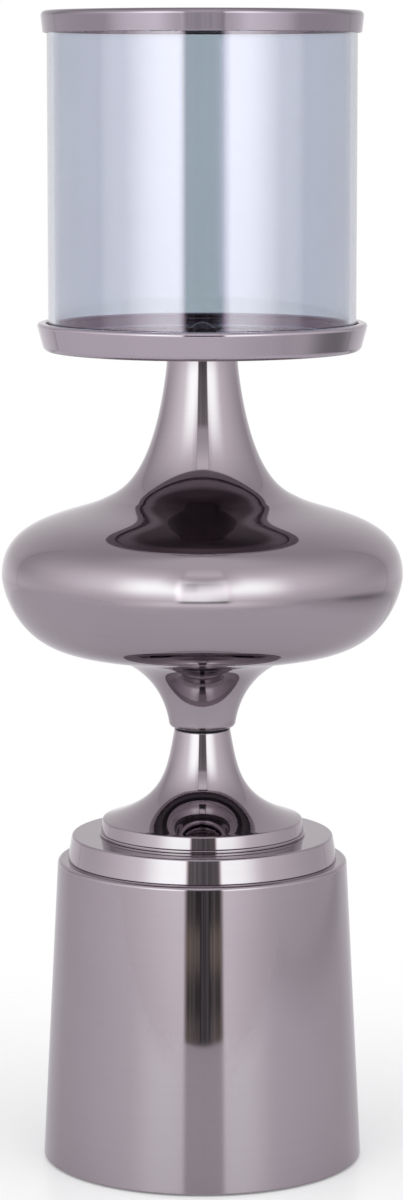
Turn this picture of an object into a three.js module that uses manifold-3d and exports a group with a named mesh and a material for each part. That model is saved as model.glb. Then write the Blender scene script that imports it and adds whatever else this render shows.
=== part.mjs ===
// Hurricane candle holder: drum base, stepped disc, trumpet stem, wide bulb with a thin neck, round tray and a
// glass cylinder with a band round its top edge. Sizes in mm, +Z up, floor at z = 0, everything turned about Z.
import * as THREE from 'three'
import { mergeVertices } from 'three/addons/utils/BufferGeometryUtils.js'
import Module from 'manifold-3d'

const wasm = await Module()
wasm.setup()

// Shared by several pieces.
const CLEAR = 0.3 // gap between a round piece and what it sits in
const SHEET = 2 // wall of the metal shells
const ROD_R = 4

// Felt pad, board cover and drum base.
const FELT_THICK = 2.4
const COVER_THICK = 3
const EDGE_LIFT = 0.8 // the drum's lower edge above the floor
const LEDGE_WIDTH = 3 // ledge inside the drum that the cover is glued against
const LEDGE_THICK = 2
const BASE_HEIGHT = 159.4 // floor to the top of the drum
const BASE_FOOT_R = 84
const BASE_TOP_R = 76
const BASE_ROUND = 2

// Stepped disc and foot plate.
const STEP_HEIGHT = 12.9
const STEP_FOOT_R = 70.6
const STEP_TOP_R = 68.6
const STEP_ROUND = 1.2
const PLATE_THICK = 1.6
const PLATE_R = 54
const PLATE_ROUND = 0.6

// Trumpet stem.
const STEM_HEIGHT = 54.5
const STEM_TOP_R = 14.5
const STEM_FOOT_R = 53.4
const STEM_RIM = 5.8 // upright rim below its rounded edge
const STEM_ROUND = 1.5
const STEM_FLARE = 162.4 // degrees from straight out at which the flare leaves the rim

// Bulb, made of a lower and an upper half that meet at the belly. Heights are above its own underside.
const BULB_HEIGHT = 199.7
const BELLY_R = 104.4
const BELLY_UP = 81
const SOLE_R = 64 // where the flat underside of the belly starts to turn into the collar
const SOLE_UP = 40.9
const SHOULDER_R = 50.5 // where the shoulder starts to turn into the neck
const SHOULDER_UP = 120.3
const COLLAR_R = 17.5
const COLLAR_ROUND = 3
const NECK_R = 17.4

// Bush between stem and bulb, plug between bulb and tray.
const BUSH_FLANGE = 0.8
const BUSH_SETBACK = 1.1 // flange inside the stem's edge
const BUSH_DOWN = 8
const BUSH_UP = 6
const PLUG_FLANGE = 1.2
const PLUG_DOWN = 10

// Tray.
const TRAY_FLOOR = 3
const TRAY_SKIRT = 3.6 // how far the outer ring reaches below the floor's underside
const TRAY_RECESS_R = 72
const TRAY_FOOT_R = 82.7
const TRAY_FOOT_ROUND = 3.5
const TRAY_LIP_R = 85.2
const TRAY_LIP_UP = 7.9 // top of the lip above the floor
const TRAY_LIP_ROUND = 1.7
const TRAY_EDGE_ROUND = 0.8
const TRAY_LEAN = 15 // degrees that the outside leans out
const TRAY_LEDGE = 0.7
const TRAY_LEDGE_UP = 5

// Glass, the soft ring under it and the band over its top edge.
const GLASS_R = 79.5
const GLASS_WALL = 3.5
const GLASS_HEIGHT = 164.5
const GLASS_PLAY = 0.6 // gap between glass and tray wall
const CUSHION_THICK = 1
const CUSHION_MARGIN = 0.5
const BAND_THICK = 1.4 // metal over the glass edge
const BAND_DOWN = 9.8 // outer wall of the band below the glass edge
const BAND_R = 82.6
const BAND_FOOT_R = 81.7
const BAND_ROUND = 2.5
const BAND_LEG_DOWN = 4 // inner wall of the band below the glass edge
const BAND_LEG_THICK = 1
const BAND_LEG_ROUND = 0.6
const LINER_THICK = 0.8
const LINER_HEIGHT = 9

// Clamping parts on the rod.
const CLAMP_R = 30
const CLAMP_THICK = 3
const WASHER_R = 10
const WASHER_THICK = 1.2
const SPRING_R = 7.4
const SPRING_THICK = 2
const SPRING_SPLIT = 12 // degrees
const NUT_FLATS = 13
const NUT_HEIGHT = 6.5
const NUT_CHAMFER = 0.7
const CAP_HEX = 4
const CAP_DOME_R = 6
const CAP_DOME = 2.9
const CAP_ROOF = 2.6 // metal above the blind hole
const ROD_TAIL = 3 // rod below the nut
const ROD_CHAMFER = 0.6

// Segments round the big and the small pieces.
const ROUND_BIG = 64
const ROUND_SMALL = 24

// Heights of the stack, from the floor up.
const coverTop = FELT_THICK + COVER_THICK
const stepZ = BASE_HEIGHT
const plateZ = stepZ + STEP_HEIGHT
const stemZ = plateZ + PLATE_THICK
const bushZ = stemZ + STEM_HEIGHT
const bulbZ = bushZ + BUSH_FLANGE
const plugZ = bulbZ + BULB_HEIGHT
const trayZ = plugZ + PLUG_FLANGE
const floorZ = trayZ + TRAY_FLOOR
const glassZ = floorZ + CUSHION_THICK
const bandZ = glassZ + GLASS_HEIGHT
const capZ = floorZ + WASHER_THICK
const capTop = capZ + CAP_HEX + CAP_DOME
const clampZ = BASE_HEIGHT - SHEET - CLAMP_THICK
const springZ = clampZ - SPRING_THICK
const nutZ = springZ - NUT_HEIGHT

// Radii that follow from the pieces they fit.
const rodHole = ROD_R + CLEAR
const stemBore = STEM_TOP_R - SHEET
const bushR = stemBore - CLEAR
const neckBore = NECK_R - SHEET
const trayWallR = GLASS_R + GLASS_PLAY
const glassBore = GLASS_R - GLASS_WALL
const linerR = GLASS_R + CLEAR
const bandBore = linerR + LINER_THICK + CLEAR
const coverR = drumR(coverTop) - SHEET - CLEAR

// Outside radius of the drum at a height.
function drumR(z) {
  return BASE_FOOT_R + ((BASE_TOP_R - BASE_FOOT_R) * z) / (BASE_HEIGHT - BASE_ROUND)
}

function at(r, z) {
  return new THREE.Vector2(r, z)
}

// Point at a distance and an angle from another one, angles in degrees from straight out.
function from(point, distance, degrees) {
  const angle = THREE.MathUtils.degToRad(degrees)
  return at(point.x + distance * Math.cos(angle), point.y + distance * Math.sin(angle))
}

function arc(centre, radius, first, last, steps = 3) {
  return Array.from({ length: steps + 1 }, (_, k) => from(centre, radius, first + ((last - first) * k) / steps))
}

// Curve that leaves one point and reaches the next at given angles, each end drawn out by its own pull.
function sweep(start, startAngle, startPull, end, endAngle, endPull) {
  const leave = from(start, startPull, startAngle)
  const reach = from(end, -endPull, endAngle)
  return new THREE.CubicBezierCurve(start, leave, reach, end)
}

// Points up a chain of curves, moved towards the inside by a wall.
function along(curves, steps, wall = 0) {
  return curves.flatMap((curve, i) => {
    const skip = i === 0 ? 0 : 1
    return Array.from({ length: steps + 1 - skip }, (_, k) => {
      const t = (k + skip) / steps
      const point = curve.getPoint(t)
      const tangent = curve.getTangent(t)
      return at(point.x - wall * tangent.y, point.y + wall * tangent.x)
    })
  })
}

// Solid of revolution: the profile runs out along the bottom, up the outside and back along the inside.
function turned(profile, segments = ROUND_BIG) {
  const closed = profile[0].x > 0 ? [...profile, profile[0].clone()] : profile
  return new THREE.LatheGeometry(closed, segments).rotateX(Math.PI / 2)
}

function ring(outer, inner, low, high, segments = ROUND_SMALL) {
  return turned([at(inner, low), at(outer, low), at(outer, high), at(inner, high)], segments)
}

function disc(radius, low, high) {
  return turned([at(0, low), at(radius, low), at(radius, high), at(0, high)])
}

function toManifold(geometry) {
  const plain = geometry.clone()
  plain.deleteAttribute('normal')
  plain.deleteAttribute('uv')
  const merged = mergeVertices(plain, 1e-4)
  const corners = Array.from(merged.index.array)
  const triangles = corners.map((_, i) => corners.slice(3 * i, 3 * i + 3)).slice(0, corners.length / 3)
  const triVerts = new Uint32Array(triangles.filter((t) => new Set(t).size === 3).flat())
  const vertProperties = new Float32Array(merged.attributes.position.array)
  return new wasm.Manifold(new wasm.Mesh({ numProp: 3, vertProperties, triVerts }))
}

function toGeometry(manifold) {
  const mesh = manifold.getMesh()
  const geometry = new THREE.BufferGeometry()
  geometry.setAttribute('position', new THREE.BufferAttribute(mesh.vertProperties, 3))
  geometry.setIndex(new THREE.BufferAttribute(mesh.triVerts, 1))
  return geometry
}

// Nut with corners rounded off by a turned outline and a hole up to a height.
function hexNut(outline, low, high, holeTop) {
  const shape = new THREE.Shape()
  const hexagon = Array.from({ length: 6 }, (_, k) => from(at(0, 0), NUT_FLATS / Math.sqrt(3), 60 * k))
  shape.setFromPoints(hexagon)
  const prism = new THREE.ExtrudeGeometry(shape, { depth: high - low, bevelEnabled: false })
  const body = toManifold(prism.translate(0, 0, low)).intersect(toManifold(turned(outline, ROUND_SMALL)))
  const hole = turned([at(0, low - 1), at(rodHole, low - 1), at(rodHole, holeTop), at(0, holeTop)], ROUND_SMALL)
  return toGeometry(body.subtract(toManifold(hole)))
}

function baseNut() {
  const corner = NUT_FLATS / 2 + NUT_CHAMFER
  const outline = [
    at(0, nutZ), at(NUT_FLATS / 2, nutZ), at(corner, nutZ + NUT_CHAMFER),
    at(corner, springZ - NUT_CHAMFER), at(NUT_FLATS / 2, springZ), at(0, springZ),
  ]
  return hexNut(outline, nutZ, springZ, springZ + 1)
}

function capNut() {
  const corner = NUT_FLATS / 2 + NUT_CHAMFER
  const domeZ = capZ + CAP_HEX
  const domeRadius = (CAP_DOME_R ** 2 + CAP_DOME ** 2) / (2 * CAP_DOME)
  const edge = THREE.MathUtils.radToDeg(Math.acos(CAP_DOME_R / domeRadius))
  const outline = [
    at(0, capZ), at(corner, capZ), at(corner, domeZ - NUT_CHAMFER), at(NUT_FLATS / 2, domeZ),
    ...arc(at(0, capTop - domeRadius), domeRadius, edge, 90, 4).slice(0, -1), at(0, capTop),
  ]
  return hexNut(outline, capZ, capTop, capTop - CAP_ROOF)
}

function springWasher() {
  const half = THREE.MathUtils.degToRad(SPRING_SPLIT / 2)
  const shape = new THREE.Shape()
  shape.absarc(0, 0, SPRING_R, half, 2 * Math.PI - half, false)
  shape.absarc(0, 0, rodHole, 2 * Math.PI - half, half, true)
  const washer = new THREE.ExtrudeGeometry(shape, { depth: SPRING_THICK, bevelEnabled: false })
  return washer.translate(0, 0, springZ)
}

function tieRod() {
  const low = nutZ - ROD_TAIL
  const high = capTop - CAP_ROOF - CLEAR
  const tip = ROD_R - ROD_CHAMFER
  return turned([
    at(0, low), at(tip, low), at(ROD_R, low + ROD_CHAMFER),
    at(ROD_R, high - ROD_CHAMFER), at(tip, high), at(0, high),
  ], ROUND_SMALL)
}

function baseShell() {
  const wall = (z) => at(drumR(z) - SHEET, z)
  const roof = BASE_HEIGHT - SHEET
  const ledgeR = drumR(coverTop) - SHEET - LEDGE_WIDTH
  const ledgeTop = coverTop + LEDGE_THICK
  return turned([
    wall(EDGE_LIFT), at(drumR(EDGE_LIFT), EDGE_LIFT),
    ...arc(at(BASE_TOP_R - BASE_ROUND, BASE_HEIGHT - BASE_ROUND), BASE_ROUND, 0, 90),
    at(rodHole, BASE_HEIGHT), at(rodHole, roof), wall(roof),
    wall(ledgeTop), at(ledgeR, ledgeTop), at(ledgeR, coverTop), wall(coverTop),
  ])
}

function stepDisc() {
  const rounded = arc(at(STEP_TOP_R - STEP_ROUND, plateZ - STEP_ROUND), STEP_ROUND, 0, 90)
  return turned([at(rodHole, stepZ), at(STEP_FOOT_R, stepZ), ...rounded, at(rodHole, plateZ)])
}

function footPlate() {
  const rounded = arc(at(PLATE_R - PLATE_ROUND, stemZ - PLATE_ROUND), PLATE_ROUND, 0, 90, 2)
  return turned([at(rodHole, plateZ), at(PLATE_R, plateZ), ...rounded, at(rodHole, stemZ)])
}

function trumpetStem() {
  const edge = arc(at(STEM_FOOT_R - STEM_ROUND, stemZ + STEM_RIM), STEM_ROUND, 0, STEM_FLARE - 90)
  const flare = sweep(edge.at(-1), STEM_FLARE, 33.4, at(STEM_TOP_R, bushZ), 100.5, 24.5)
  const outside = along([flare], 9)
  const inside = along([flare], 9, SHEET).slice(1, -1)
  const footBore = STEM_FOOT_R - SHEET
  return turned([
    at(footBore, stemZ), at(STEM_FOOT_R, stemZ), ...edge.slice(0, -1), ...outside,
    at(stemBore, bushZ), ...inside.reverse(), at(footBore, stemZ + STEM_RIM - CLEAR),
  ])
}

function collarBush() {
  const flangeR = STEM_TOP_R - BUSH_SETBACK
  return turned([
    at(rodHole, bushZ - BUSH_DOWN), at(bushR, bushZ - BUSH_DOWN), at(bushR, bushZ), at(flangeR, bushZ),
    at(flangeR, bulbZ), at(bushR, bulbZ), at(bushR, bulbZ + BUSH_UP), at(rodHole, bulbZ + BUSH_UP),
  ], ROUND_SMALL)
}

// The bulb's outside from the collar up to the neck.
function bulbCurves() {
  const collar = at(COLLAR_R, bulbZ + COLLAR_ROUND)
  const sole = at(SOLE_R, bulbZ + SOLE_UP)
  const belly = at(BELLY_R, bulbZ + BELLY_UP)
  const shoulder = at(SHOULDER_R, bulbZ + SHOULDER_UP)
  const neck = at(NECK_R, plugZ)
  return [
    sweep(collar, 80.4, 24.3, sole, 3, 23),
    sweep(sole, 3, 32.5, belly, 90, 8),
    sweep(belly, 90, 30, shoulder, 152, 20),
    sweep(shoulder, 152, 8.5, neck, 95.1, 70.3),
  ]
}

// Inner edge of the flat face on which the bulb's halves meet.
function bellyEdge() {
  return at(BELLY_R - SHEET, bulbZ + BELLY_UP)
}

function bulbLower() {
  const half = bulbCurves().slice(0, 2)
  const inside = along(half, 6, SHEET).slice(0, -1)
  const lip = arc(at(COLLAR_R - COLLAR_ROUND, bulbZ + COLLAR_ROUND), COLLAR_ROUND, -90, 0).slice(0, -1)
  return turned([
    at(stemBore, bulbZ), ...lip, ...along(half, 6), bellyEdge(), ...inside.reverse(),
    at(COLLAR_R - SHEET, bulbZ + SHEET), at(stemBore, bulbZ + SHEET),
  ])
}

function bulbUpper() {
  const half = bulbCurves().slice(2)
  const inside = along(half, 6, SHEET).slice(1, -1)
  return turned([...along(half, 6), at(neckBore, plugZ), ...inside.reverse(), bellyEdge()])
}

function neckPlug() {
  const spigot = neckBore - CLEAR
  return turned([
    at(rodHole, plugZ - PLUG_DOWN), at(spigot, plugZ - PLUG_DOWN), at(spigot, plugZ),
    at(NECK_R, plugZ), at(NECK_R, trayZ), at(rodHole, trayZ),
  ], ROUND_SMALL)
}

function tray() {
  const underside = trayZ - TRAY_SKIRT
  const lipTop = floorZ + TRAY_LIP_UP
  const lipBore = trayWallR + TRAY_LEDGE
  const ledgeZ = floorZ + TRAY_LEDGE_UP
  const foot = at(TRAY_FOOT_R - TRAY_FOOT_ROUND, underside + TRAY_FOOT_ROUND)
  const lip = at(TRAY_LIP_R - TRAY_LIP_ROUND, lipTop - TRAY_LIP_ROUND)
  const edge = at(lipBore + TRAY_EDGE_ROUND, lipTop - TRAY_EDGE_ROUND)
  return turned([
    at(rodHole, trayZ), at(TRAY_RECESS_R, trayZ), at(TRAY_RECESS_R, underside),
    ...arc(foot, TRAY_FOOT_ROUND, -90, -TRAY_LEAN), ...arc(lip, TRAY_LIP_ROUND, -TRAY_LEAN, 90),
    ...arc(edge, TRAY_EDGE_ROUND, 90, 180, 2),
    at(lipBore, ledgeZ), at(trayWallR, ledgeZ), at(trayWallR, floorZ), at(rodHole, floorZ),
  ])
}

function rimBand() {
  const top = bandZ + BAND_THICK
  const legR = glassBore - CLEAR
  const legInner = legR - BAND_LEG_THICK
  const outer = at(BAND_R - BAND_ROUND, top - BAND_ROUND)
  const inner = at(legInner + BAND_LEG_ROUND, top - BAND_LEG_ROUND)
  return turned([
    at(bandBore, bandZ - BAND_DOWN), at(BAND_FOOT_R, bandZ - BAND_DOWN),
    ...arc(outer, BAND_ROUND, 0, 90), ...arc(inner, BAND_LEG_ROUND, 90, 180, 2),
    at(legInner, bandZ - BAND_LEG_DOWN), at(legR, bandZ - BAND_LEG_DOWN), at(legR, bandZ), at(bandBore, bandZ),
  ])
}

const looks = {
  metal: { color: 0x9b8f97, roughness: 0.12, metalness: 1 },
  glass: { color: 0xc6ced6, roughness: 0.04, metalness: 0 },
  zinc: { color: 0xb9bcc0, roughness: 0.35, metalness: 1 },
  nylon: { color: 0x2b2a2c, roughness: 0.6, metalness: 0 },
  clear: { color: 0xe4e6e6, roughness: 0.4, metalness: 0 },
  board: { color: 0x3a3532, roughness: 0.85, metalness: 0 },
  felt: { color: 0x1f1f21, roughness: 1, metalness: 0 },
}

const pieces = [
  ['felt_pad', 'felt', disc(coverR - CLEAR, 0, FELT_THICK)],
  ['bottom_cover', 'board', disc(coverR, FELT_THICK, coverTop)],
  ['base_shell', 'metal', baseShell()],
  ['step_disc', 'metal', stepDisc()],
  ['foot_plate', 'metal', footPlate()],
  ['trumpet_stem', 'metal', trumpetStem()],
  ['collar_bush', 'nylon', collarBush()],
  ['bulb_lower', 'metal', bulbLower()],
  ['bulb_upper', 'metal', bulbUpper()],
  ['neck_plug', 'zinc', neckPlug()],
  ['tray', 'metal', tray()],
  ['tray_washer', 'zinc', ring(WASHER_R, rodHole, floorZ, capZ)],
  ['cap_nut', 'zinc', capNut()],
  ['glass_cushion', 'clear', ring(trayWallR - CLEAR, glassBore - CUSHION_MARGIN, floorZ, glassZ, ROUND_BIG)],
  ['glass_shade', 'glass', ring(GLASS_R, glassBore, glassZ, bandZ, ROUND_BIG)],
  ['rim_liner', 'clear', ring(linerR + LINER_THICK, linerR, bandZ - LINER_HEIGHT, bandZ, ROUND_BIG)],
  ['rim_band', 'metal', rimBand()],
  ['tie_rod', 'zinc', tieRod()],
  ['clamp_plate', 'zinc', ring(CLAMP_R, rodHole, clampZ, clampZ + CLAMP_THICK, ROUND_BIG)],
  ['lock_washer', 'zinc', springWasher()],
  ['base_nut', 'zinc', baseNut()],
]

const holder = new THREE.Group()
holder.name = 'hurricane_candle_holder'
for (const [name, look, geometry] of pieces) {
  const mesh = new THREE.Mesh(geometry, new THREE.MeshStandardMaterial(looks[look]))
  mesh.name = name
  holder.add(mesh)
}

export default holder
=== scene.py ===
"""Looks of a hurricane candle holder: turned pieces in polished black nickel and a smoked glass cylinder, in
a white light tent."""

from math import acos, atan2, cos, degrees, hypot, pi, radians, sin, tan

import bpy
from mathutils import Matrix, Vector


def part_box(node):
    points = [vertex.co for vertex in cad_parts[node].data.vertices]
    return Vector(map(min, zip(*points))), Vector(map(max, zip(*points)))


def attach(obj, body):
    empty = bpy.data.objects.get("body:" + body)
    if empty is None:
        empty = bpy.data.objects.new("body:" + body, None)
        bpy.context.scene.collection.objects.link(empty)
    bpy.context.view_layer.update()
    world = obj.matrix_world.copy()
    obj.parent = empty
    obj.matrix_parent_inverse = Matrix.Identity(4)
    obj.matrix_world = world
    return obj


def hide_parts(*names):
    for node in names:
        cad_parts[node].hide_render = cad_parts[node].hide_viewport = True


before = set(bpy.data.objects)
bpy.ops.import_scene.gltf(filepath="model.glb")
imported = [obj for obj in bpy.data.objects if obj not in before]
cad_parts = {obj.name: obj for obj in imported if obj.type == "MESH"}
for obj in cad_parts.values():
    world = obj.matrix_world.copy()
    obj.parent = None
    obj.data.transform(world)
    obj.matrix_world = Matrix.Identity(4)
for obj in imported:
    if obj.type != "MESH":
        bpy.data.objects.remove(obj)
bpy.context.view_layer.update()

MM = 0.001  # profiles are written in millimetres, the scene is in metres
FINE_SEGMENTS = 192
SMALL_SEGMENTS = 96
GLASS_SEGMENTS = 512
HOLD = 0.12  # how close to the end of a straight its extra point lies

# Shared by several pieces.
CLEAR = 0.3  # gap between a round piece and what it sits in
SHEET = 2.0  # wall of the metal shells
ROD_R = 4.0
EDGE = 0.35  # rounding of edges that are broken by polishing

# Drum base.
BASE_FOOT_R = 84.0
BASE_TOP_R = 76.0
BASE_ROUND = 2.0
BASE_INNER_ROUND = 1.0
LEDGE_WIDTH = 3.0
LEDGE_THICK = 2.0

# Stepped disc and foot plate.
STEP_FOOT_R = 70.6
STEP_TOP_R = 68.6
STEP_ROUND = 1.2
PLATE_ROUND = 0.6

# Trumpet stem. Angles of curves are in degrees from straight out, here and below.
STEM_TOP_R = 14.5
STEM_FOOT_R = 53.4
STEM_RIM = 5.8
STEM_RIM_LEAN = 8.5  # degrees that the rim leans in
STEM_ROUND = 1.2
STEM_FLARE = 162.4  # angle at which the flare leaves the rim
STEM_TOP_ANGLE = 100.5

# Bulb, heights above its own underside.
BELLY_R = 104.4
BELLY_UP = 81.0
SOLE_R = 64.0
SOLE_UP = 40.9
SOLE_ANGLE = 3.0
SHOULDER_R = 50.5
SHOULDER_UP = 120.3
SHOULDER_ANGLE = 152.0
COLLAR_R = 17.5
COLLAR_ROUND = 3.0
COLLAR_ANGLE = 80.4
NECK_R = 17.4
NECK_ANGLE = 90.6
NECK_TOP = 16.0  # last stretch of the neck, which straightens up
NECK_TOP_GROWTH = 1.8  # how much wider than the neck this stretch starts
NECK_TOP_SPARE = 0.6  # how much wider it still is at the top
NECK_TOP_ANGLE = 97.8
PLUG_EDGE = 0.2

# Tray, with the soft ring that the glass stands on.
TRAY_RECESS_R = 72.0
TRAY_FOOT_ROUND = 3.5
TRAY_FOOT_R = 82.7
TRAY_LIP_R = 85.2
TRAY_LIP_ROUND = 1.7
TRAY_EDGE_ROUND = 0.8
TRAY_LEAN = 15.0  # degrees that the outside leans out
TRAY_WALL_R = 80.1
TRAY_LEDGE = 0.7
TRAY_LEDGE_UP = 5.0
CUSHION_MARGIN = 0.5
CUSHION_EDGE = 0.2

# Glass, the band over its top edge and the ring between them.
GLASS_WALL = 3.5
GLASS_EDGE = 0.6
BAND_R = 82.6
BAND_FOOT_R = 81.7
BAND_ROUND = 2.5
BAND_LEG_DOWN = 4.0
BAND_LEG_THICK = 1.0
BAND_LEG_ROUND = 0.6
LINER_EDGE = 0.1

# Nut and washer in the tray, cover and felt under the base.
NUT_FLATS = 13.0
NUT_FOOT_R = 7.2
NUT_CORNER_R = 7.5
NUT_CHAMFER = 0.9
CAP_HEX = 4.0  # height of the hexagon
CAP_DOME_R = 6.0
WASHER_EDGE = 0.25
BOARD_EDGE = 0.2
FELT_EDGE = 0.5

ROD_HOLE = ROD_R + CLEAR
STEM_BORE = STEM_TOP_R - SHEET

# Faces get a duller finish and painted shade by how steeply they face up or down:
# 1 is straight up, -1 straight down.
FACING_UP = 0.8
FACING_DOWN = -0.8
FACING_SOLE = -0.985
FACING_STRIP = -0.94

# Camera, fitted to the rims in the photograph, and table top, with places and distances in metres.
CAMERA_LENS = 112.5  # millimetres, for a picture 36 mm high
CAMERA_PLACE = (-0.0004, -1.938, 0.565)
CAMERA_DOWN = 7.9  # degrees that it looks down
TABLE_LEFT = -1.4
TABLE_RIGHT = 0.95
TABLE_FRONT = -0.58
TABLE_BACK = 0.9
TABLE_FADE = (0.16, 0.50)  # distances from the axis between which the table fades out for the camera

# Width and height of the lamps in front, in metres.
BELLY_LAMP = (0.118, 0.168)
LONG_LAMP = (2.4, 0.34)


def level(node, high=False):
    """Height of a CAD node's underside, or of its top, in millimetres."""
    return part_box(node)[1 if high else 0][2] / MM


def levels(node):
    """Heights of a CAD node's underside and top, in millimetres."""
    return level(node), level(node, True)


def radius(node):
    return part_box(node)[1][0] / MM


# Profiles. A point is (distance from the axis, height).

def away(point, distance, angle):
    """Point at a distance and an angle from another one, in degrees from straight out."""
    return (point[0] + distance * cos(radians(angle)), point[1] + distance * sin(radians(angle)))


def arc(centre, size, first, last, steps=10):
    return [away(centre, size, first + (last - first) * k / steps) for k in range(steps + 1)]


def sweep(start, start_angle, start_pull, end, end_angle, end_pull, wall=0.0, steps=60):
    """Curve that leaves and reaches its ends at given angles, moved inwards by a wall."""
    corners = (start, away(start, start_pull, start_angle), away(end, -end_pull, end_angle), end)
    points = []
    for k in range(steps + 1):
        t = k / steps
        u = 1 - t
        weights = (u ** 3, 3 * u * u * t, 3 * u * t * t, t ** 3)
        slopes = (-u * u, u * u - 2 * u * t, 2 * u * t - t * t, t * t)
        r, z = (sum(w * c[i] for w, c in zip(weights, corners)) for i in (0, 1))
        dr, dz = (sum(s * c[i] for s, c in zip(slopes, corners)) for i in (0, 1))
        length = hypot(dr, dz)
        points.append((r - wall * dz / length, z + wall * dr / length))
    return points


def outline(*parts):
    """Closed profile out of points and curves. Each straight between two parts gets a point close to either
    end, which keeps smooth shading off the straight itself."""
    curves = [part if isinstance(part, list) else [part] for part in parts]
    profile = []
    for curve, following in zip(curves, curves[1:] + curves[:1]):
        profile += curve
        start, end = curve[-1], following[0]
        length = hypot(end[0] - start[0], end[1] - start[1])
        if length > 4 * HOLD and start[0] + end[0] > 0:
            for share in (HOLD / length, 1 - HOLD / length):
                profile.append(tuple(a + (b - a) * share for a, b in zip(start, end)))
    return profile


def ring_outline(outer, inner, low, high, edge):
    """Ring of rectangular section with rounded edges; a disc when the inner radius is 0."""
    outside = [
        arc((outer - edge, low + edge), edge, -90, 0, 5),
        arc((outer - edge, high - edge), edge, 0, 90, 5),
    ]
    if inner == 0:
        return outline((0, low), *outside, (0, high))
    inside = [
        arc((inner + edge, high - edge), edge, 90, 180, 5),
        arc((inner + edge, low + edge), edge, 180, 270, 5),
    ]
    return outline(*outside, *inside)


# Meshes

def turned(name, profile, segments=FINE_SEGMENTS):
    """Closed solid of revolution. The profile runs out along the bottom, up the outside and back inside."""
    angles = [2 * pi * k / segments for k in range(segments)]
    vertices = []
    rings = []
    for r, z in profile:
        first = len(vertices)
        if r < 1e-6:
            vertices.append((0, 0, z * MM))
            rings.append([first] * segments)
            continue
        vertices += [(r * MM * cos(a), r * MM * sin(a), z * MM) for a in angles]
        rings.append(list(range(first, first + segments)))
    faces = []
    for lower, upper in zip(rings, rings[1:] + rings[:1]):
        for k in range(segments):
            n = (k + 1) % segments
            corners = list(dict.fromkeys((lower[k], lower[n], upper[n], upper[k])))
            if len(corners) > 2:
                faces.append(corners)
    mesh = bpy.data.meshes.new(name)
    mesh.from_pydata(vertices, [], faces)
    mesh.shade_smooth()
    return mesh


def ring(name, node, inner, edge, segments=FINE_SEGMENTS):
    """Ring with rounded edges, as wide and as high as its CAD node."""
    return turned(name, ring_outline(radius(node), inner, *levels(node), edge), segments)


def shown(name, mesh, material, slot, body, *nodes):
    """Puts a mesh in the scene in place of CAD nodes."""
    mesh.materials.append(material)
    piece = bpy.data.objects.new(name, mesh)
    bpy.context.scene.collection.objects.link(piece)
    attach(piece, body)
    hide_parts(*nodes)
    return piece


def finish_faces(piece, finish, chosen):
    """Gives the chosen faces of a piece another finish; here a duller plating with painted shade."""
    piece.data.materials.append(finish)
    for face in piece.data.polygons:
        if chosen(face.normal.z, face.center.z / MM):
            face.material_index = len(piece.data.materials) - 1


# Shader maths

def add(tree, kind, **settings):
    node = tree.nodes.new(kind)
    for name, value in settings.items():
        setattr(node, name, value)
    return node


def feed(tree, socket, value):
    """Links a term to a socket, or sets a plain value on it."""
    if isinstance(value, Term):
        tree.links.new(value.socket, socket)
    else:
        socket.default_value = value


class Term:
    """A value in a node tree, so that shader maths can be written as plain expressions."""

    def __init__(self, tree, socket):
        self.tree = tree
        self.socket = socket

    def maths(self, operation, *values):
        node = add(self.tree, "ShaderNodeMath", operation=operation)
        for socket, value in zip(node.inputs, values):
            feed(self.tree, socket, value)
        return Term(self.tree, node.outputs[0])

    def __add__(self, other):
        return self.maths("ADD", self, other)

    def __sub__(self, other):
        return self.maths("SUBTRACT", self, other)

    def __rsub__(self, other):
        return self.maths("SUBTRACT", other, self)

    def __mul__(self, other):
        return self.maths("MULTIPLY", self, other)

    __radd__ = __add__

    def size(self):
        return self.maths("ABSOLUTE", self)

    def between(self, low, high, way):
        node = add(self.tree, "ShaderNodeMapRange", interpolation_type=way)
        feed(self.tree, node.inputs["Value"], self)
        node.inputs["From Min"].default_value = low
        node.inputs["From Max"].default_value = high
        return Term(self.tree, node.outputs["Result"])

    def ramp(self, low, high):
        """Straight way from 0 to 1 between two values; it falls when the first one is the higher."""
        return self.between(low, high, "LINEAR")

    def rise(self, low, high):
        """The same with smooth ends."""
        return self.between(low, high, "SMOOTHSTEP")

    def to(self, other, share):
        """Goes from this value to another one as the share goes from 0 to 1."""
        return self + (other - self) * share

    def blend(self, first, second):
        """Goes from the first colour to the second one as this value goes from 0 to 1."""
        node = add(self.tree, "ShaderNodeMix", data_type="RGBA")
        feed(self.tree, node.inputs["Factor"], self)
        for name, colour in (("A", first), ("B", second)):
            socket = [s for s in node.inputs if s.name == name and s.type == "RGBA"][0]
            feed(self.tree, socket, colour if isinstance(colour, Term) else (*colour, 1))
        return Term(self.tree, [s for s in node.outputs if s.type == "RGBA"][0])


def split(tree, vector):
    """The three parts of a vector as terms."""
    node = add(tree, "ShaderNodeSeparateXYZ")
    tree.links.new(vector, node.inputs[0])
    return [Term(tree, output) for output in node.outputs]


def join(tree, *values):
    node = add(tree, "ShaderNodeCombineXYZ")
    for socket, value in zip(node.inputs, values):
        feed(tree, socket, value)
    return node.outputs[0]


def noise(tree, vector, scale, detail=3.0, roughness=0.5, w=None):
    node = add(tree, "ShaderNodeTexNoise", noise_dimensions="4D" if w else "3D")
    tree.links.new(vector, node.inputs["Vector"])
    if w:
        feed(tree, node.inputs["W"], w)
    node.inputs["Scale"].default_value = scale
    node.inputs["Detail"].default_value = detail
    node.inputs["Roughness"].default_value = roughness
    return Term(tree, node.outputs["Fac"])


def place_on(tree):
    """Place on the object, in metres."""
    return add(tree, "ShaderNodeTexCoord").outputs["Object"]


def from_axis(x, y):
    return x.maths("SQRT", x * x + y * y)


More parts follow.
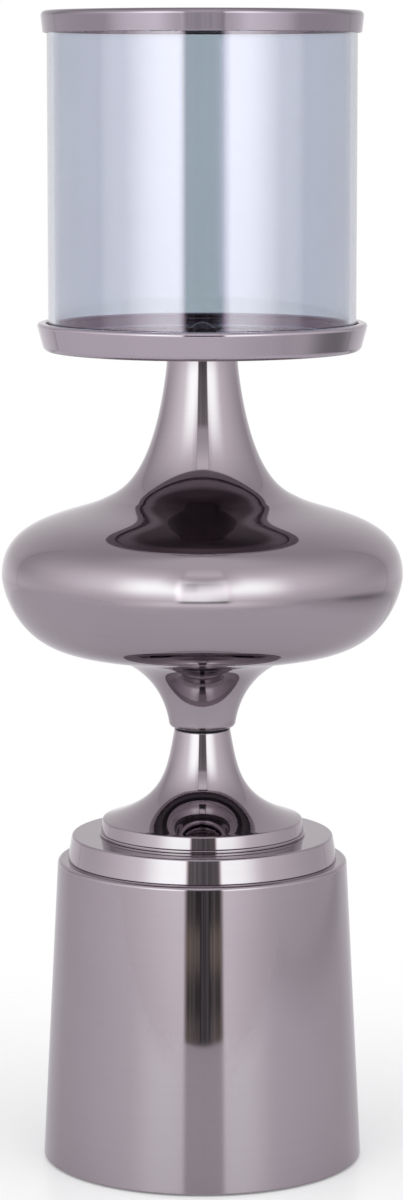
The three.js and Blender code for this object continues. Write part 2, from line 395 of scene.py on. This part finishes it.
def turning_marks(tree, place, along, close, detail=3.0, roughness=0.6):
    """Fine marks round the axis: long in the direction of turning, close together outwards and upwards. They
    come with the height and the distance from the axis."""
    x, y, z = split(tree, place)
    out = from_axis(x, y)
    drawn = join(tree, x * along, y * along, z * close)
    return noise(tree, drawn, 1.0, detail, roughness, w=out * close), z, out


def bump(tree, shader, height, distance):
    node = add(tree, "ShaderNodeBump")
    node.inputs["Distance"].default_value = distance
    feed(tree, node.inputs["Height"], height)
    tree.links.new(node.outputs[0], shader.inputs["Normal"])


# Materials

def material(name, **values):
    """Principled material with plain values; returns it with its tree and its shader node."""
    made = bpy.data.materials.new(name)
    made.use_nodes = True
    tree = made.node_tree
    shader = tree.nodes["Principled BSDF"]
    for socket, value in values.items():
        shader.inputs[socket.replace("_", " ")].default_value = value
    return made, tree, shader


def black_nickel(name, dark, light):
    """Mirror-polished smoky plating with fine marks round the axis. Its gloss is uneven, and softest round
    the belly."""
    made, tree, shader = material(name, Metallic=1.0)
    place = place_on(tree)
    marks, z, out = turning_marks(tree, place, 6, 700)
    haze = noise(tree, place, 14.0, 4.0)
    tone = marks.rise(0.2, 0.8) * 0.4 + haze.rise(0.3, 0.7) * 0.6
    feed(tree, shader.inputs["Base Color"], tone.blend(dark, light))
    belly = z.rise(0.294, 0.306) * z.rise(0.334, 0.320)
    feed(tree, shader.inputs["Roughness"], 0.035 + haze.rise(0.35, 0.8) * 0.025 + belly * 0.055)
    bump(tree, shader, marks, 0.0000003)
    return made


def dull_nickel_with_painted_shade(name, near_colour, far_colour, near, far):
    """The same plating on a duller face, with painted shade: its colour changes between two distances from
    the axis, and a little with the marks."""
    made, tree, shader = material(name, Metallic=1.0)
    cuts, z, out = turning_marks(tree, place_on(tree), 6, 900)
    tone = out.rise(near, far) * 0.8 + cuts * 0.2
    feed(tree, shader.inputs["Base Color"], tone.blend(near_colour, far_colour))
    feed(tree, shader.inputs["Roughness"], 0.28 + cuts * 0.10)
    return made


def smoked_glass():
    """Clear glass with a smoky lustre coat: what it lets through is bluish, what it mirrors is pinkish."""
    made, tree, shader = material("smoked_glass", IOR=1.75, Transmission_Weight=1.0)
    shader.inputs["Specular Tint"].default_value = (1.0, 0.70, 0.90, 1)
    place = place_on(tree)
    cloud = noise(tree, place, 9.0, 3.0)
    grain = noise(tree, place, 900.0, 2.0)
    tone = (cloud * 0.6 + grain * 0.4).rise(0.3, 0.7).blend((0.606, 0.642, 0.708), (0.640, 0.684, 0.748))
    feed(tree, shader.inputs["Base Color"], tone)
    feed(tree, shader.inputs["Roughness"], grain * 0.01)
    return made


def zinc_plate(name, dark, light):
    made, tree, shader = material(name, Metallic=1.0)
    crystals = noise(tree, place_on(tree), 420.0, 4.0)
    feed(tree, shader.inputs["Base Color"], crystals.rise(0.3, 0.7).blend(dark, light))
    feed(tree, shader.inputs["Roughness"], 0.26 + crystals * 0.16)
    return made


def black_nylon():
    made, tree, shader = material("black_nylon", IOR=1.53)
    cuts, z, out = turning_marks(tree, place_on(tree), 10, 2200, 2.0, 0.5)
    feed(tree, shader.inputs["Base Color"], cuts.blend((0.012, 0.012, 0.013), (0.030, 0.029, 0.031)))
    feed(tree, shader.inputs["Roughness"], 0.42 + cuts * 0.2)
    bump(tree, shader, cuts, 0.00002)
    return made


def clear_silicone():
    made, tree, shader = material("clear_silicone", IOR=1.41, Transmission_Weight=0.85)
    cloud = noise(tree, place_on(tree), 90.0, 3.0)
    feed(tree, shader.inputs["Base Color"], cloud.blend((0.72, 0.74, 0.75), (0.86, 0.87, 0.88)))
    feed(tree, shader.inputs["Roughness"], 0.2 + cloud * 0.15)
    return made


def hard_board():
    made, tree, shader = material("hard_board", IOR=1.45)
    x, y, z = split(tree, place_on(tree))
    fibres = noise(tree, join(tree, x * 3, y, z), 480.0, 6.0, 0.7)
    tone = fibres.rise(0.25, 0.75).blend((0.028, 0.020, 0.015), (0.085, 0.062, 0.046))
    feed(tree, shader.inputs["Base Color"], tone)
    feed(tree, shader.inputs["Roughness"], 0.6 + fibres * 0.3)
    bump(tree, shader, fibres, 0.00008)
    return made


def black_felt():
    made, tree, shader = material("black_felt", Roughness=0.95, Sheen_Weight=0.3, Sheen_Roughness=0.5)
    place = place_on(tree)
    fibres = noise(tree, place, 1500.0, 6.0, 0.75)
    matted = noise(tree, place, 160.0, 4.0)
    tone = (fibres * 0.7 + matted * 0.3).rise(0.3, 0.7).blend((0.006, 0.006, 0.007), (0.030, 0.030, 0.033))
    feed(tree, shader.inputs["Base Color"], tone)
    bump(tree, shader, fibres, 0.0003)
    return made


# Pieces

def drum_radius(z):
    height = level("base_shell", True)
    return BASE_FOOT_R + (BASE_TOP_R - BASE_FOOT_R) * z / (height - BASE_ROUND)


def drum():
    low, high = levels("base_shell")
    lean = degrees(atan2(BASE_FOOT_R - BASE_TOP_R, high - BASE_ROUND))
    ledge_low = level("bottom_cover", True)
    ledge_high = ledge_low + LEDGE_THICK
    ledge_inner = drum_radius(ledge_low) - SHEET - LEDGE_WIDTH
    inner_high = high - SHEET
    inner_corner = (drum_radius(inner_high) - SHEET - BASE_INNER_ROUND, inner_high - BASE_INNER_ROUND)
    return turned("drum", outline(
        (drum_radius(low) - SHEET, low),
        arc((drum_radius(low) - 2 * EDGE, low + 2 * EDGE), 2 * EDGE, -90, lean, 6),
        arc((BASE_TOP_R - BASE_ROUND, high - BASE_ROUND), BASE_ROUND, lean, 90, 14),
        (ROD_HOLE, high), (ROD_HOLE, inner_high),
        arc(inner_corner, BASE_INNER_ROUND, 90, lean, 6),
        (drum_radius(ledge_high) - SHEET, ledge_high), (ledge_inner, ledge_high),
        (ledge_inner, ledge_low), (drum_radius(ledge_low) - SHEET, ledge_low)))


def step():
    low, high = levels("step_disc")
    lean = degrees(atan2(STEP_FOOT_R - STEP_TOP_R, high - low))
    return turned("step", outline(
        (ROD_HOLE, low), arc((STEP_FOOT_R - EDGE, low + EDGE), EDGE, -90, lean, 5),
        arc((STEP_TOP_R - STEP_ROUND, high - STEP_ROUND), STEP_ROUND, lean, 90, 12), (ROD_HOLE, high)))


def plate():
    low, high = levels("foot_plate")
    rim = radius("foot_plate")
    return turned("plate", outline(
        (ROD_HOLE, low), arc((rim - EDGE, low + EDGE), EDGE, -90, 0, 5),
        arc((rim - PLATE_ROUND, high - PLATE_ROUND), PLATE_ROUND, 0, 90, 8), (ROD_HOLE, high)))


def stem():
    low, high = levels("trumpet_stem")
    shoulder = (STEM_FOOT_R - STEM_ROUND - STEM_RIM * tan(radians(STEM_RIM_LEAN)), low + STEM_RIM)
    edge = arc(shoulder, STEM_ROUND, STEM_RIM_LEAN, STEM_FLARE - 90, 12)
    flare = (edge[-1], STEM_FLARE, 33.4, (STEM_TOP_R, high), STEM_TOP_ANGLE, 24.5)
    # The ends of the inside give way to the bore above and to the step behind the rim.
    inside = sweep(*flare, wall=SHEET)[2:-1]
    bore = STEM_FOOT_R - SHEET
    return turned("stem", outline(
        (bore, low), arc((STEM_FOOT_R - EDGE, low + EDGE), EDGE, -90, 0, 5),
        edge[:-1] + sweep(*flare), (STEM_BORE, high), inside[::-1], (bore, low + STEM_RIM - CLEAR)))


def bush():
    low, high = levels("collar_bush")
    flange, spigot = radius("collar_bush"), STEM_BORE - CLEAR
    flange_low, flange_high = level("trumpet_stem", True), level("bulb_lower")
    return turned("bush", outline(
        (ROD_HOLE, low), arc((spigot - EDGE, low + EDGE), EDGE, -90, 0, 4), (spigot, flange_low),
        (flange, flange_low), (flange, flange_high), (spigot, flange_high),
        arc((spigot - EDGE, high - EDGE), EDGE, 0, 90, 4), (ROD_HOLE, high)), SMALL_SEGMENTS)


def bulb():
    low, high = level("bulb_lower"), level("bulb_upper", True)
    collar = (COLLAR_R, low + COLLAR_ROUND)
    sole = (SOLE_R, low + SOLE_UP)
    belly = (BELLY_R, low + BELLY_UP)
    shoulder = (SHOULDER_R, low + SHOULDER_UP)
    throat = (NECK_R + NECK_TOP_GROWTH, high - NECK_TOP)
    neck = (NECK_R + NECK_TOP_SPARE, high)
    # Each curve has its start with angle and pull, and its end with angle and pull.
    curves = (
        (collar, COLLAR_ANGLE, 24.3, sole, SOLE_ANGLE, 23),
        (sole, SOLE_ANGLE, 32.5, belly, 90, 8),
        (belly, 90, 30, shoulder, SHOULDER_ANGLE, 20),
        (shoulder, SHOULDER_ANGLE, 7.8, throat, NECK_TOP_ANGLE, 55.4),
        (throat, NECK_TOP_ANGLE, 5.3, neck, NECK_ANGLE, 5.3),
    )
    outside, inside = (
        [point for curve in curves for point in sweep(*curve, wall=wall)[:-1]] for wall in (0, SHEET))
    lip = arc((COLLAR_R - COLLAR_ROUND, collar[1]), COLLAR_ROUND, -90, 0, 10)
    return turned("bulb", outline(
        (STEM_BORE, low), lip[:-1] + outside + [neck], (neck[0] - SHEET, high),
        inside[:0:-1], (COLLAR_R - SHEET, low + SHEET), (STEM_BORE, low + SHEET)))


def plug():
    low, high = levels("neck_plug")
    spigot, seat = NECK_R - SHEET - CLEAR, level("bulb_upper", True)
    flange = NECK_R - PLUG_EDGE
    return turned("plug", outline(
        (ROD_HOLE, low), arc((spigot - EDGE, low + EDGE), EDGE, -90, 0, 4), (spigot, seat),
        arc((flange, seat + PLUG_EDGE), PLUG_EDGE, -90, 0, 3),
        arc((flange, high - PLUG_EDGE), PLUG_EDGE, 0, 90, 3),
        (ROD_HOLE, high)), SMALL_SEGMENTS)


def tray():
    underside, lip_top = levels("tray")
    floor_low, floor_high = level("neck_plug", True), level("tray_washer")
    bore, ledge = TRAY_WALL_R + TRAY_LEDGE, floor_high + TRAY_LEDGE_UP
    foot = (TRAY_FOOT_R - TRAY_FOOT_ROUND, underside + TRAY_FOOT_ROUND)
    lip = (TRAY_LIP_R - TRAY_LIP_ROUND, lip_top - TRAY_LIP_ROUND)
    inner = (bore + TRAY_EDGE_ROUND, lip_top - TRAY_EDGE_ROUND)
    return turned("dish", outline(
        (ROD_HOLE, floor_low), (TRAY_RECESS_R, floor_low),
        arc((TRAY_RECESS_R + EDGE, underside + EDGE), EDGE, 180, 270, 5),
        arc(foot, TRAY_FOOT_ROUND, -90, -TRAY_LEAN, 16), arc(lip, TRAY_LIP_ROUND, -TRAY_LEAN, 90, 16),
        arc(inner, TRAY_EDGE_ROUND, 90, 180, 8), (bore, ledge),
        (TRAY_WALL_R, ledge), (TRAY_WALL_R, floor_high), (ROD_HOLE, floor_high)))


def glass():
    return ring("glass", "glass_shade", radius("glass_shade") - GLASS_WALL, GLASS_EDGE, GLASS_SEGMENTS)


def liner():
    return ring("liner", "rim_liner", radius("glass_shade") + CLEAR, LINER_EDGE)


def cushion():
    return ring("cushion", "glass_cushion", radius("glass_shade") - GLASS_WALL - CUSHION_MARGIN, CUSHION_EDGE)


def washer():
    return ring("washer", "tray_washer", ROD_HOLE, WASHER_EDGE, SMALL_SEGMENTS)


def board():
    return ring("board", "bottom_cover", 0, BOARD_EDGE)


def felt():
    return ring("felt", "felt_pad", 0, FELT_EDGE)


def band():
    low, top = levels("rim_band")
    seat = level("glass_shade", True)
    bore = radius("rim_liner") + CLEAR
    leg = radius("glass_shade") - GLASS_WALL - CLEAR
    leg_inner = leg - BAND_LEG_THICK
    leg_low = seat - BAND_LEG_DOWN
    lean = -degrees(atan2(BAND_R - BAND_FOOT_R, top - BAND_ROUND - low))
    return turned("band", outline(
        (bore, low), arc((BAND_FOOT_R - EDGE, low + EDGE), EDGE, -90, lean, 5),
        arc((BAND_R - BAND_ROUND, top - BAND_ROUND), BAND_ROUND, lean, 90, 16),
        arc((leg_inner + BAND_LEG_ROUND, top - BAND_LEG_ROUND), BAND_LEG_ROUND, 90, 180, 8),
        (leg_inner, leg_low), (leg, leg_low), (leg, seat), (bore, seat)))


def cap_nut():
    """Hexagon with a dome, both cut from one polar grid: each point lies on the hexagon or on the turned
    outline, whichever is closer to the axis."""
    low, top = levels("cap_nut")
    dome_low = low + CAP_HEX
    dome = top - dome_low
    ball = (CAP_DOME_R ** 2 + dome ** 2) / (2 * dome)
    edge = degrees(acos(CAP_DOME_R / ball))
    chamfer = [NUT_CHAMFER * k / 8 for k in range(9)]
    profile = [(0, low), (NUT_FOOT_R, low)]
    profile += [(NUT_CORNER_R - cut, dome_low - NUT_CHAMFER + cut) for cut in chamfer]
    profile += arc((0, top - ball), ball, edge, 90, 12)[:-1] + [(0, top)]
    mesh = turned("cap", profile, SMALL_SEGMENTS)
    for vertex in mesh.vertices:
        x, y, z = vertex.co
        sector = (degrees(atan2(y, x)) % 60) - 30
        reach = NUT_FLATS / 2 / cos(radians(sector)) * MM
        out = hypot(x, y)
        if out > reach:
            vertex.co = (x * reach / out, y * reach / out, z)
    return mesh


nickel = black_nickel("black_nickel", (0.330, 0.285, 0.315), (0.350, 0.305, 0.335))
# Darker copy of the plating for the band: painted shade.
band_nickel_painted_shade = black_nickel("band_nickel_painted_shade", (0.262, 0.228, 0.266), (0.274, 0.238, 0.278))
# Lighter copy of the plating for the tray: painted light.
tray_nickel_painted_light = black_nickel("tray_nickel_painted_light", (0.400, 0.350, 0.398), (0.415, 0.364, 0.413))
zinc = zinc_plate("zinc_plate", (0.42, 0.43, 0.46), (0.60, 0.61, 0.62))
# Near-black copy of the zinc plating for the nut and washer in the tray: painted shade.
zinc_painted_shade = zinc_plate("zinc_painted_shade", (0.034, 0.033, 0.037), (0.060, 0.058, 0.064))
clear = clear_silicone()

shown("drum", drum(), nickel, "nickel", "stand", "base_shell")
shown("step", step(), nickel, "nickel", "stand", "step_disc")
shown("plate", plate(), nickel, "nickel", "stand", "foot_plate")
shown("stem", stem(), nickel, "nickel", "stand", "trumpet_stem")
shown("bush", bush(), black_nylon(), "bush", "stand", "collar_bush")
bulb_piece = shown("bulb", bulb(), nickel, "nickel", "stand", "bulb_lower", "bulb_upper")
shown("plug", plug(), zinc, "zinc", "stand", "neck_plug")
dish_piece = shown("dish", tray(), tray_nickel_painted_light, "nickel", "stand", "tray")
shown("washer", washer(), zinc_painted_shade, "zinc", "stand", "tray_washer")
shown("cap", cap_nut(), zinc_painted_shade, "zinc", "stand", "cap_nut")
shown("cushion", cushion(), clear, "clear", "stand", "glass_cushion")
shown("board", board(), hard_board(), "board", "stand", "bottom_cover")
shown("felt", felt(), black_felt(), "felt", "stand", "felt_pad")
glass_piece = shown("glass", glass(), smoked_glass(), "smoked_glass", "shade", "glass_shade")
shown("liner", liner(), clear, "clear", "shade", "rim_liner")
band_piece = shown("band", band(), band_nickel_painted_shade, "nickel", "shade", "rim_band")

# Duller faces with painted shade: the tray's underside, darker towards the neck; its floor, painted
# near-black; the level part of the bulb's underside, darker outwards; and a near-black strip round that part.
dull_and_painted_shade = dull_nickel_with_painted_shade("dull_nickel_with_painted_shade", (0.120, 0.105, 0.112), (0.340, 0.298, 0.318), 0.050, 0.062)
# Near-black painted shade for the tray's floor and the strip round the bulb's underside.
dark = dull_nickel_with_painted_shade("painted_shade_nickel", (0.020, 0.017, 0.021), (0.034, 0.029, 0.035), 0.050, 0.062)
sole = dull_nickel_with_painted_shade("sole_painted_shade", (0.105, 0.092, 0.100), (0.034, 0.029, 0.034), 0.060, 0.072)
above_floor = level("tray_washer") + 0.1
above_sole = level("bulb_lower") + SOLE_UP + 1.0
finish_faces(dish_piece, dull_and_painted_shade, lambda facing, height: facing < FACING_DOWN)
finish_faces(dish_piece, dark, lambda facing, height: facing > FACING_UP and height < above_floor)
finish_faces(bulb_piece, sole, lambda facing, height: facing < FACING_SOLE)
finish_faces(
    bulb_piece, dark, lambda facing, height: FACING_SOLE <= facing < FACING_STRIP and height < above_sole)

for node in ("tie_rod", "clamp_plate", "lock_washer", "base_nut"):
    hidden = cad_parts[node]
    hidden.data.materials.clear()
    hidden.data.materials.append(zinc)


# Surroundings. Directions are in degrees: turn is 0 towards the camera and positive to its right, side is its
# size, and up is 0 at the horizon. A brightness of 1 is white.

def turn_of(x, y):
    return x.maths("ARCTAN2", x, y * -1.0) * (180 / pi)


def path_value(tree, path, name):
    return Term(tree, path.outputs[name])


def above_opening(side, up):
    """Height in the tent, raised over the opening, so that panels end and the roof starts lower there."""
    return up + side.ramp(26, 12) * 12


def cloth_walls(turn, side, up):
    """Cloth of the tent: brighter near the panels and higher up, darker to the right, with a plain roof."""
    right = turn.rise(5, 65)
    near = side.ramp(127, 22)
    low = (0.62 + near * near * 0.90) * (1 - right * 0.19)
    ground = 0.97 - right * 0.20
    middle = (0.91 + near * near * 0.42 + up.rise(-9, -5) * 0.09) * (1 - right * 0.12)
    high = 0.66 + side.ramp(127, 45) * (1.22 - right * 0.38) + side.rise(128, 142) * 0.12
    roof = 0.66 + side.rise(120, 40) * 0.34
    walls = ground.to(low, up.rise(-30, -21)).to(middle, up.rise(-20, -11))
    walls = walls.to(high, up.rise(-8, 10)).to(roof, above_opening(side, up).rise(14, 60))
    seams = (side - 131.5).size().rise(1.4, 0.2) * up.rise(48, 36) * 0.18
    shade = turn.rise(78, 102) * turn.rise(146, 128) * up.rise(-12, -19) * up.rise(-50, -40) * 0.20
    return walls * (1 - seams) - shade


def front_opening(tree, turn, up):
    """The tent's opening in front: the dim room behind the camera with a few warm things in it, and a strip
    of cloth above. Returns its brightness, how much of the tent it takes, and how warm it is."""
    aside = (turn - 1.2).size()
    folds = noise(tree, join(tree, turn * 0.40, up * 0.02, 0.0), 1.0, 3.0)
    wave = noise(tree, join(tree, up * 0.9, 0.0, 0.0), 1.0, 1.0) * 1.2
    lamp = (turn + 5.9).size().rise(1.0, 0.5) * (up + 5.5).size().rise(0.55, 0.25)
    chairs = (turn + 7.0).size().rise(5.8, 5.0) + (turn - 9.9).size().rise(4.7, 3.9)
    crack = (turn + 5.8 + wave).size().rise(0.1, 0.5) * (turn - 7.4 - wave).size().rise(0.1, 0.4)
    chair = chairs * crack * ((up + 7.4).size().rise(0.40, 0.26) + (up + 8.7).size().rise(0.40, 0.15) * 0.6)
    room = 0.055 + folds.rise(0.45, 0.62) * 0.11 + aside.rise(5, 10) * 0.04 + up.ramp(-4, 21) * 0.26
    room = room + lamp * 0.7 + chair * 0.22
    cloth = 0.80 + up.rise(26, 46) * 0.45
    frame_line = (aside - 14.0).size().rise(1.1, 0.2) * up.rise(21, 25) * 0.45
    bright = room.to(cloth, up.rise(22, 25.5)) * (1 - frame_line)
    share = aside.rise(16.2, 12.2) * up.rise(-22, -14) * up.rise(62, 44)
    warm = (lamp + chair * 0.5 + aside.rise(5, 11) * 0.20) * share * up.rise(20, 10)
    return bright, share, warm


def light_tent():
    """White tent: a plain white background to the camera and through the glass, while mirrors see its walls,
    two lit panels and the opening."""
    world = bpy.data.worlds.new("tent")
    bpy.context.scene.world = world
    world.use_nodes = True
    tree = world.node_tree
    x, y, z = split(tree, add(tree, "ShaderNodeTexCoord").outputs["Generated"])
    turn = turn_of(x, y)
    up = x.maths("ARCSINE", z) * (180 / pi)
    side = turn.size()

    panels = side.rise(58, 31) * up.rise(-11, 11) * above_opening(side, up).rise(41, 12) * 0.95
    opening, share, warm = front_opening(tree, turn, up)
    tent = (cloth_walls(turn, side, up) + panels).to(opening, share)
    bright = tent.rise(1.0, 2.8).blend((1.0, 0.985, 1.005), (1.0, 1.13, 1.05))
    tint = tent.rise(0.15, 0.85).blend((0.98, 0.99, 1.00), bright)
    tint = warm.blend(tint, (1.0, 0.78, 0.55))

    path = add(tree, "ShaderNodeLightPath")
    mirrors = path_value(tree, path, "Glossy Depth")
    through = path_value(tree, path, "Is Transmission Ray") * mirrors.maths("LESS_THAN", mirrors, 0.5)
    seen = path_value(tree, path, "Is Camera Ray")
    plain = seen.maths("MAXIMUM", seen, through)
    background = tree.nodes["Background"]
    feed(tree, background.inputs["Color"], plain.blend(tint, (1.0, 1.0, 1.0)))
    feed(tree, background.inputs["Strength"], tent.to(1.0, plain))


def table_white():
    """White with a slight gloss. The camera sees it fade out into the white surroundings, and mirrors see it
    up to its edges with painted light: brighter in front, darker to the back and far to the right."""
    made, tree, shader = material("floor_white", Roughness=0.22, IOR=1.2)
    place = place_on(tree)
    x, y, z = split(tree, place)
    paper = noise(tree, place, 60.0, 4.0)
    side = turn_of(x, y).size()
    seen = path_value(tree, add(tree, "ShaderNodeLightPath"), "Is Camera Ray")
    # Painted light and shade for what mirrors see: brighter in front, darker to the back and far to the
    # right.
    tone = (0.83 + side.rise(150, 85) * 0.14) * (1 - x.rise(0.45, 0.8) * 0.25)
    mirrored_painted_light = tone.blend((0.0, 0.0, 0.0), (1.0, 0.985, 1.01))
    plain = paper.blend((0.86, 0.86, 0.86), (0.88, 0.88, 0.88))
    feed(tree, shader.inputs["Base Color"], seen.blend(mirrored_painted_light, plain))
    feed(tree, shader.inputs["Emission Strength"], seen * 0.19)
    shader.inputs["Emission Color"].default_value = (1, 1, 1, 1)
    right_end = x.rise(0.70, TABLE_RIGHT)
    front_end = y.rise(-0.40, TABLE_FRONT) * side.rise(13, 24)
    ends = right_end.maths("MAXIMUM", right_end, front_end)
    feed(tree, shader.inputs["Alpha"], 1 - ends.to(from_axis(x, y).rise(*TABLE_FADE), seen))
    return made


def pale_floor():
    corners = [
        (TABLE_LEFT, TABLE_FRONT, 0), (TABLE_RIGHT, TABLE_FRONT, 0),
        (TABLE_RIGHT, TABLE_BACK, 0), (TABLE_LEFT, TABLE_BACK, 0),
    ]
    mesh = bpy.data.meshes.new("floor")
    mesh.from_pydata(corners, [], [[0, 1, 2, 3]])
    mesh.materials.append(table_white())
    floor = bpy.data.objects.new("floor", mesh)
    bpy.context.scene.collection.objects.link(floor)


def front_lamp(name, piece, place, size, shape, tint=(1.0, 1.10, 1.05)):
    """Lamp in front that lights one piece only and brightens what it mirrors of the tent's front. The shape
    gives its brightness from where a spot of it is: -1 to 1 from left to right, and 0 to 1 upwards."""
    width, height = size
    data = bpy.data.lights.new(name, "AREA")
    data.shape = "RECTANGLE"
    data.size, data.size_y = width, height
    data.energy = pi * width * height
    data.use_nodes = True
    tree = data.node_tree
    across, high = split(tree, add(tree, "ShaderNodeNewGeometry").outputs["Parametric"])[:2]
    emission = [node for node in tree.nodes if node.type == "EMISSION"][0]
    feed(tree, emission.inputs["Strength"], shape(across * 2.0 - 1.0, high))
    emission.inputs["Color"].default_value = (*tint, 1)
    lamp = bpy.data.objects.new(name, data)
    lamp.location = place
    lamp.rotation_euler = (radians(90), 0, 0)
    lamp.visible_camera = False
    lamp.visible_transmission = False
    bpy.context.scene.collection.objects.link(lamp)
    lit = bpy.data.collections.new(name)
    lit.objects.link(piece)
    lamp.light_linking.receiver_collection = lit


def belly_light(across, high):
    """Fills the opening on the belly: brightest a third of the way up, weaker at the lower right and in a
    spot left of the middle, with a soft upper edge that climbs to both sides."""
    aside = across.size()
    wide = aside * aside
    above = (high - wide * 0.20).rise(0.32, 0.95)
    below = high.rise(0.35, 0.10) * wide
    right = across.rise(-0.2, 0.7) * high.rise(0.45, 0.10)
    gap = (across + 0.45).size().rise(0.45, 0.10) * (high - 0.55).size().rise(0.25, 0.05)
    bright = 1.5 + high.rise(0.0, 0.30) * 0.8 - above * 2.3 - below * 0.6 - right * 0.5 - gap * 0.6
    return bright * aside.rise(1.0, 0.74) * high.rise(0.0, 0.16)


def glass_light(across, high):
    """Two strips beside the opening, with a weaker glow out to both sides."""
    aside = across.size()
    return aside.rise(0.031, 0.049) * (aside.rise(0.24, 0.06) * 2.7 + aside.rise(0.90, 0.15) * 1.05)


def band_light(across, high):
    """Fills the opening, and brightens the metal on both sides of it."""
    aside = across.size()
    return aside.rise(0.0625, 0.0445) * 0.80 + aside.rise(0.06, 0.15) * aside.rise(0.75, 0.10) * 0.75


def photo_camera():
    data = bpy.data.cameras.new("camera")
    data.lens = CAMERA_LENS
    camera = bpy.data.objects.new("camera", data)
    camera.location = CAMERA_PLACE
    camera.rotation_euler = (radians(90 - CAMERA_DOWN), 0, 0)
    bpy.context.scene.collection.objects.link(camera)
    bpy.context.scene.camera = camera


light_tent()
pale_floor()
front_lamp("belly_lamp", bulb_piece, (0.002, -0.25, 0.346), BELLY_LAMP, belly_light)
front_lamp("glass_lamp", glass_piece, (0.006, -0.2, 0.50), LONG_LAMP, glass_light, (1.0, 1.45, 1.15))
front_lamp("band_lamp", band_piece, (0.003, -0.3, 0.56), LONG_LAMP, band_light, (1.0, 1.03, 1.05))
photo_camera()
bpy.context.scene.view_settings.view_transform = "Standard"
